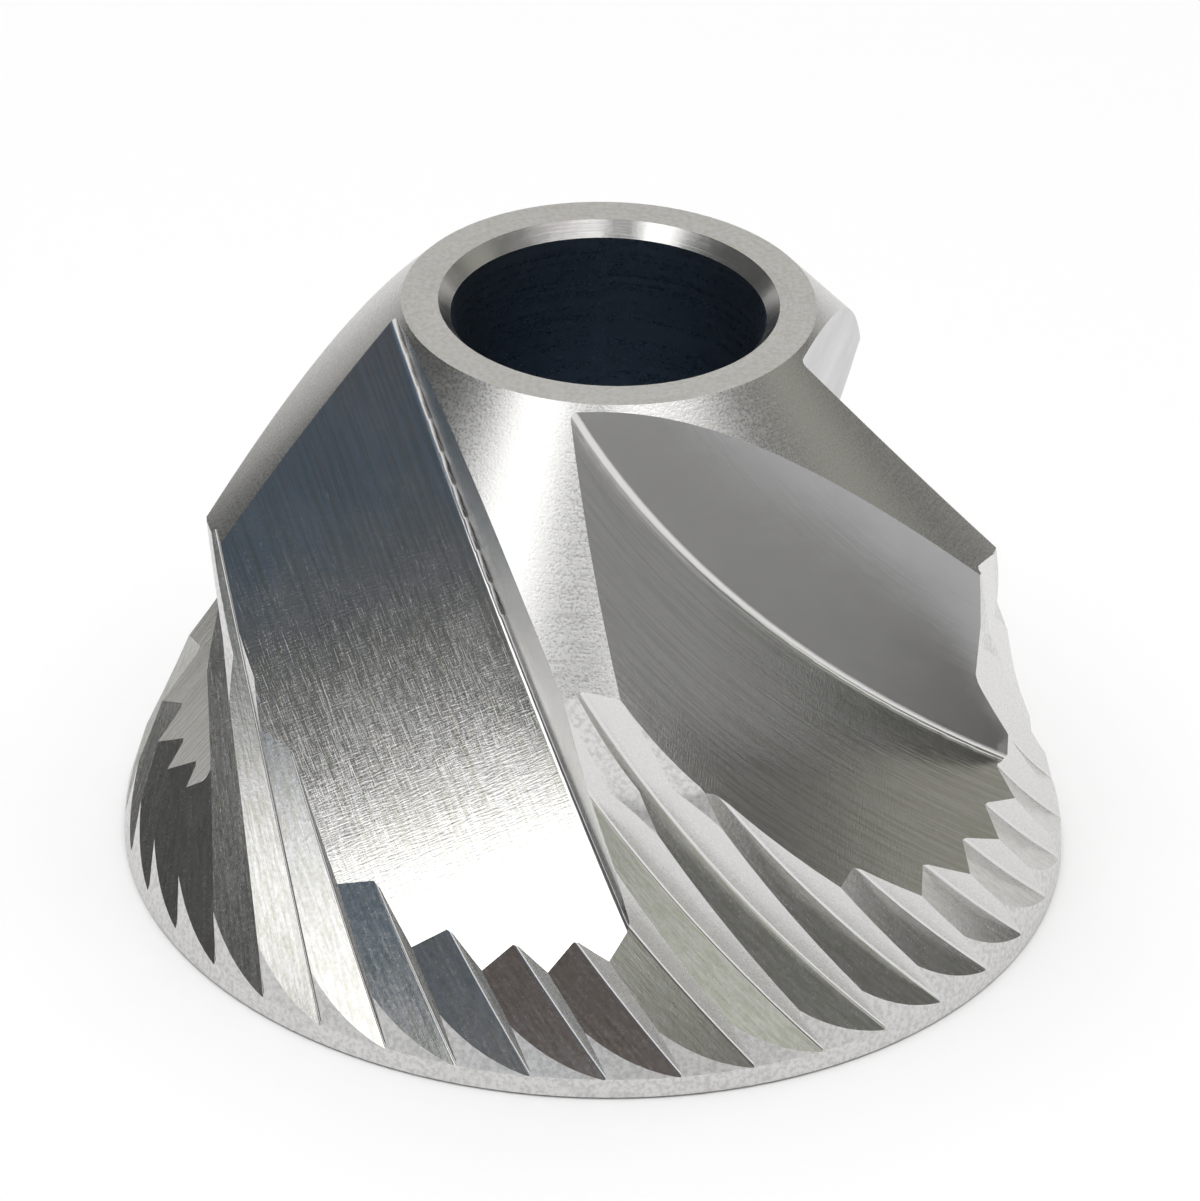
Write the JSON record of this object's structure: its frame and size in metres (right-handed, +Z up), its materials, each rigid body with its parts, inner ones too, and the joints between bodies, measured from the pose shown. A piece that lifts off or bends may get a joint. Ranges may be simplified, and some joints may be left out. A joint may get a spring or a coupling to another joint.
{
  "type": "coffee grinder burr",
  "caption": "Cone burr of a coffee grinder: a steel cone on a plain bore, with coarse spiral flutes that feed fine slanted grooves round the wide end.",
  "frame": {"origin": "centre of the wide bottom face, on the bore axis", "axes": "+Z up the bore axis from the wide end to the narrow end; one coarse flute faces -Y"},
  "size_m": [0.0465, 0.0464, 0.0297],
  "materials": {
    "burr_steel": "bare hardened steel, turned and milled"
  },
  "bodies": {
    "root": {"cone_burr": "burr_steel"}
  },
  "joints": []
}
